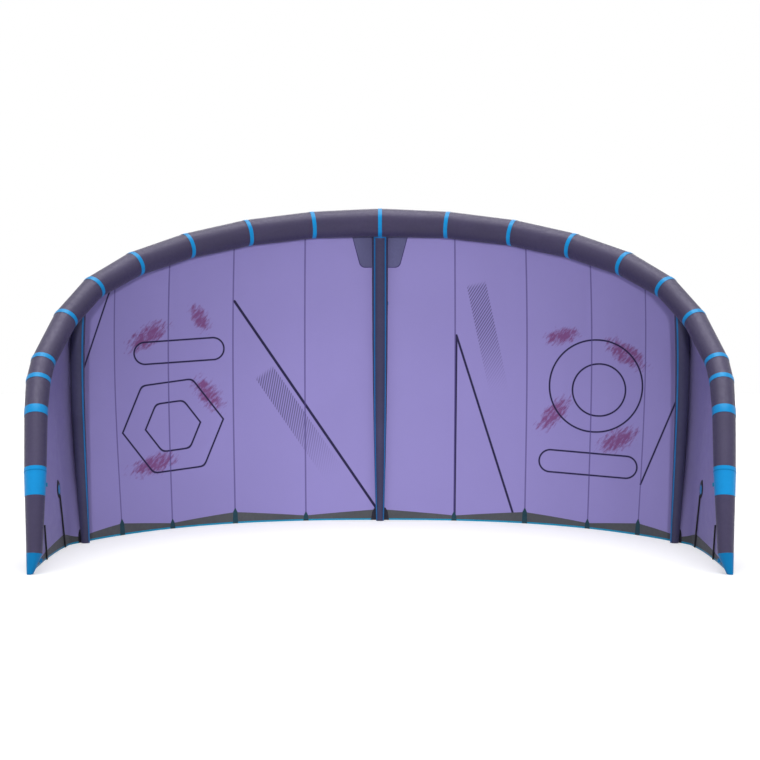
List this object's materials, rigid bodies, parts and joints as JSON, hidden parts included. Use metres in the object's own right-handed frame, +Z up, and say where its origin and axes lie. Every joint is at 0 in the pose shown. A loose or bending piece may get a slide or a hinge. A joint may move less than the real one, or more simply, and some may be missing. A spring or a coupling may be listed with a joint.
{
  "type": "kitesurfing kite",
  "caption": "Inflatable kitesurfing kite: a bent tapering air tube over a cambered cloth canopy with air struts, seam tapes, closed tips, tabs for the lines and inflation valves.",
  "frame": {"origin": "on the ground under the middle of the kite's width and depth, with the kite on its trailing edge, strut ends and tips", "axes": "+X to the right as seen from the hollow side, +Y away from the rider, through the canopy, +Z up"},
  "size_m": [3.6008, 2.0656, 2.0242],
  "materials": {
    "casing_cloth": "woven polyester, dark purple-grey",
    "blue_tape": "bright blue woven tape with a light sheen",
    "canopy_cloth": "ripstop cloth, lavender",
    "grey_cloth": "grey reinforcement cloth",
    "batten_cloth": "black woven pocket cloth",
    "bladder_film": "milky clear film",
    "valve_plastic": "black moulded plastic",
    "plug_plastic": "blue moulded plastic"
  },
  "bodies": {
    "kite": {"leading_edge_casing_middle": "casing_cloth", "leading_edge_casing_inner_left": "casing_cloth", "leading_edge_casing_inner_right": "casing_cloth", "leading_edge_casing_outer_left": "casing_cloth", "leading_edge_casing_outer_right": "casing_cloth", "seam_tape_middle": "blue_tape", "seam_tape_left_1": "blue_tape", "seam_tape_left_2": "blue_tape", "seam_tape_left_3": "blue_tape", "seam_tape_left_4": "blue_tape", "seam_tape_left_5": "blue_tape", "seam_tape_left_6": "blue_tape", "seam_tape_left_7": "blue_tape", "seam_tape_left_8": "blue_tape", "seam_tape_left_9": "blue_tape", "seam_tape_right_1": "blue_tape", "seam_tape_right_2": "blue_tape", "seam_tape_right_3": "blue_tape", "seam_tape_right_4": "blue_tape", "seam_tape_right_5": "blue_tape", "seam_tape_right_6": "blue_tape", "seam_tape_right_7": "blue_tape", "seam_tape_right_8": "blue_tape", "seam_tape_right_9": "blue_tape", "front_line_band_left": "blue_tape", "tip_patch_left": "blue_tape", "front_line_band_right": "blue_tape", "tip_patch_right": "blue_tape", "leading_edge_bladder": "bladder_film", "strut_casing_middle": "casing_cloth", "strut_bladder_middle": "bladder_film", "strut_valve_seat_middle": "valve_plastic", "strut_casing_left": "casing_cloth", "strut_bladder_left": "bladder_film", "strut_valve_seat_left": "valve_plastic", "strut_casing_right": "casing_cloth", "strut_bladder_right": "bladder_film", "strut_valve_seat_right": "valve_plastic", "canopy_middle": "canopy_cloth", "canopy_left_1": "canopy_cloth", "canopy_left_2": "canopy_cloth", "canopy_left_3": "canopy_cloth", "canopy_left_4": "canopy_cloth", "canopy_right_1": "canopy_cloth", "canopy_right_2": "canopy_cloth", "canopy_right_3": "canopy_cloth", "canopy_right_4": "canopy_cloth", "trailing_edge_band": "grey_cloth", "middle_patch": "grey_cloth", "batten_long_left": "batten_cloth", "batten_short_left": "batten_cloth", "batten_long_right": "batten_cloth", "batten_short_right": "batten_cloth", "valve_seat": "valve_plastic"},
    "edge_valve_collar": {"valve_collar": "valve_plastic"},
    "edge_valve_plug": {"valve_plug": "plug_plastic"},
    "middle_strut_plug": {"strut_valve_plug_middle": "plug_plastic"},
    "left_strut_plug": {"strut_valve_plug_left": "plug_plastic"},
    "right_strut_plug": {"strut_valve_plug_right": "plug_plastic"}
  },
  "joints": [
    {"name": "edge_valve_collar_turn", "type": "hinge", "parent": "kite", "child": "edge_valve_collar", "pos_m": [0.23541, 0.83726, 1.98173], "axis": [0.1252, 0.7041, 0.6989], "range_deg": [0, 90]},
    {"name": "edge_valve_plug_pull", "type": "slide", "parent": "edge_valve_collar", "child": "edge_valve_plug", "axis": [0.1252, 0.7041, 0.6989], "range_m": [0, 0.014]},
    {"name": "middle_strut_plug_pull", "type": "slide", "parent": "kite", "child": "middle_strut_plug", "axis": [1, 0.0004, -0.005], "range_m": [0, 0.01]},
    {"name": "left_strut_plug_pull", "type": "slide", "parent": "kite", "child": "left_strut_plug", "axis": [0.2594, 0.962, 0.0855], "range_m": [0, 0.01]},
    {"name": "right_strut_plug_pull", "type": "slide", "parent": "kite", "child": "right_strut_plug", "axis": [-0.2594, 0.962, 0.0855], "range_m": [0, 0.01]}
  ]
}
